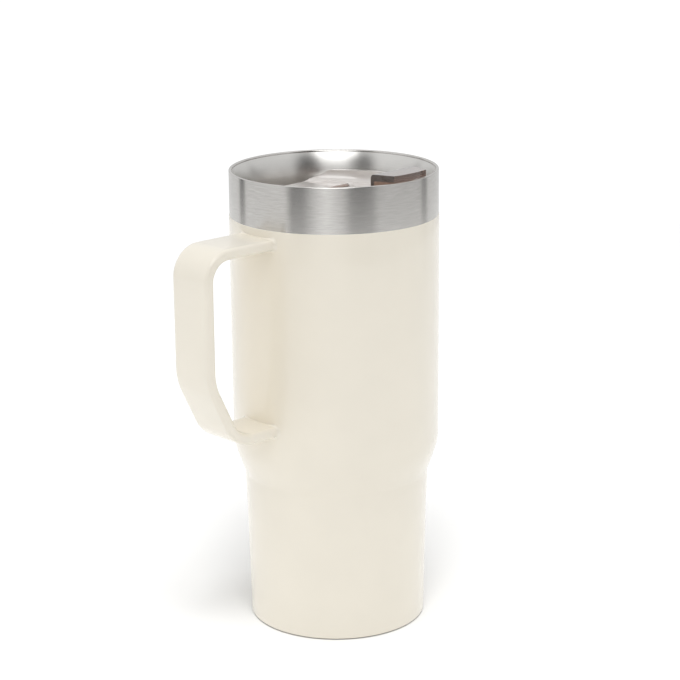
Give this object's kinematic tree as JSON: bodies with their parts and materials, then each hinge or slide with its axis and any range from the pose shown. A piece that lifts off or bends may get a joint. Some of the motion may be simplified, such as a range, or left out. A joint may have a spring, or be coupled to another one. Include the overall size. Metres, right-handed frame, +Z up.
{
  "type": "insulated travel mug",
  "caption": "Vacuum-walled steel travel mug with a coated body, bare steel rim band, strap handle and a press-in lid with a flip tab.",
  "frame": {"origin": "centre of the base's resting face, on the cup's axis", "axes": "+Z up along the cup's axis, handle along -X, sip opening and tab towards -Y"},
  "size_m": [0.1245, 0.0888, 0.201],
  "materials": {
    "coated_steel": "satin",
    "brushed_steel": "brushed",
    "satin_steel": "satin",
    "smoke_plastic": "gloss",
    "silicone": "matte",
    "foil": "bright",
    "getter_alloy": "matte",
    "seal_glass": "gloss"
  },
  "bodies": {
    "cup": {"outer_shell": "coated_steel", "rim_collar": "brushed_steel", "inner_liner": "satin_steel", "base_pan": "satin_steel", "base_cover": "satin_steel", "base_pad": "silicone", "radiation_foil": "foil", "getter_pill": "getter_alloy", "getter_holder": "satin_steel", "vacuum_seal_bead": "seal_glass", "handle": "coated_steel", "upper_weld": "coated_steel", "lower_weld": "coated_steel"},
    "lid": {"lid_body": "smoke_plastic", "lid_gasket": "silicone", "hinge_pin": "satin_steel"},
    "tab": {"flip_tab": "smoke_plastic", "tab_seal": "silicone"}
  },
  "joints": [
    {"name": "lid_lift", "type": "slide", "parent": "cup", "child": "lid", "axis": [0, 0, 1], "range_m": [0, 0.06]},
    {"name": "tab_hinge", "type": "hinge", "parent": "lid", "child": "tab", "pos_m": [-0.00024, 0.00449, 0.18691], "axis": [-0.9986, -0.0523, 0], "range_deg": [0, 110]}
  ]
}
